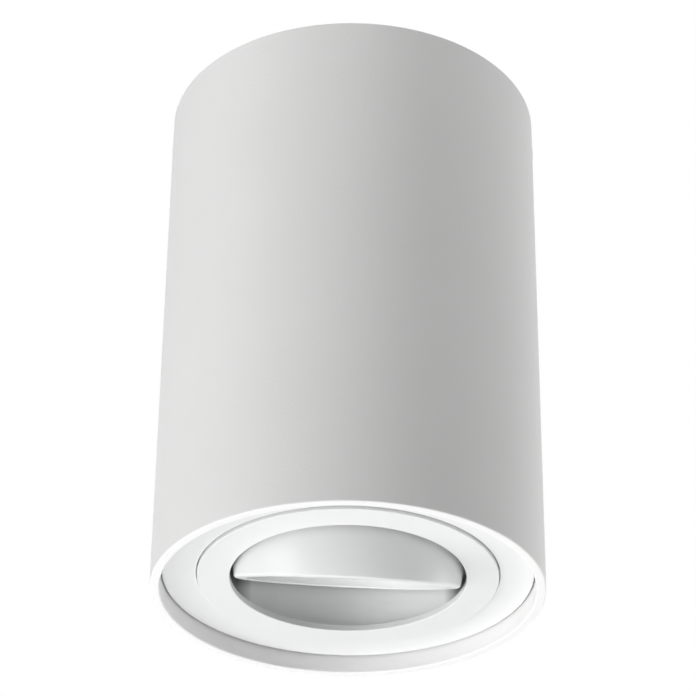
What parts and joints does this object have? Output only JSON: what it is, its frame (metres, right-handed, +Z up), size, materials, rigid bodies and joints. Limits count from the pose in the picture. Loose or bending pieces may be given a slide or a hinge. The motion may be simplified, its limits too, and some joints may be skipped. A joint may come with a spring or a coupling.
{
  "type": "surface mounted ceiling spotlight",
  "caption": "Cylindrical surface mounted ceiling spotlight with a recessed front plate and a turning, tilting eyeball that holds a reflector lamp.",
  "frame": {"origin": "centre of the ceiling screw pattern, on the flat face that lies against the ceiling", "axes": "+Z up into the ceiling along the housing's axis, -Y the front, +X along the line of the ceiling screws"},
  "size_m": [0.098, 0.098, 0.1468],
  "materials": {
    "tube_coat": "matt, fine textured powder coat",
    "face_coat": "satin smooth paint",
    "white_screws": "painted screw heads",
    "zinc_steel": "zinc plated sheet",
    "screw_steel": "zinc plated",
    "spring_steel": "hardened, satin",
    "brass": "machined",
    "tinned_brass": "tin plated",
    "grommet_rubber": "matt",
    "block_plastic": "moulded",
    "nylon": "moulded, black",
    "lead_silicone": "silicone insulation",
    "earth_insulation": "green and yellow insulation",
    "sleeve_braid": "braided glass sleeve",
    "lamp_shell": "satin reflector shell",
    "lamp_glass": "pressed glass",
    "lamp_base_plastic": "moulded",
    "pin_metal": "nickel plated",
    "ceramic": "fired and glazed"
  },
  "bodies": {
    "housing": {"housing_tube": "tube_coat", "ceiling_plate": "zinc_steel", "side_screws": "white_screws", "cable_grommet": "grommet_rubber", "terminal_block": "block_plastic", "terminal_inserts": "brass", "terminal_clamp_screws": "screw_steel", "terminal_fixing_screws": "screw_steel", "earth_tag": "tinned_brass", "earth_screw": "brass", "earth_lead": "earth_insulation", "front_plate": "face_coat", "plate_clips": "spring_steel", "clip_screws": "screw_steel", "upper_leads": "lead_silicone"},
    "ring": {"turning_ring": "face_coat", "snap_ring": "spring_steel", "friction_washer": "nylon", "stop_screw": "screw_steel", "lead_sleeve": "sleeve_braid", "lower_leads": "lead_silicone"},
    "eyeball": {"eyeball_cup": "face_coat", "pivot_screws": "screw_steel", "pivot_washers": "nylon", "lamp_retaining_ring": "face_coat", "lamp_body": "lamp_shell", "lamp_capsule": "lamp_glass", "lamp_lens": "lamp_glass", "lamp_base": "lamp_base_plastic", "lamp_pins": "pin_metal", "lampholder": "ceramic", "holder_contacts": "brass", "holder_strap": "zinc_steel", "strap_screws": "screw_steel", "holder_screws": "screw_steel"}
  },
  "joints": [
    {"name": "ring_turn", "type": "hinge", "parent": "housing", "child": "ring", "pos_m": [0, 0, -0.1361], "axis": [0, 0, 1], "range_deg": [-177.1, 166.9], "deforming": ["upper_leads"]},
    {"name": "eyeball_tilt", "type": "hinge", "parent": "ring", "child": "eyeball", "pos_m": [0, 0, -0.1296], "axis": [0.996, 0.0889, 0], "range_deg": [-54, 6], "deforming": ["lower_leads"]}
  ]
}
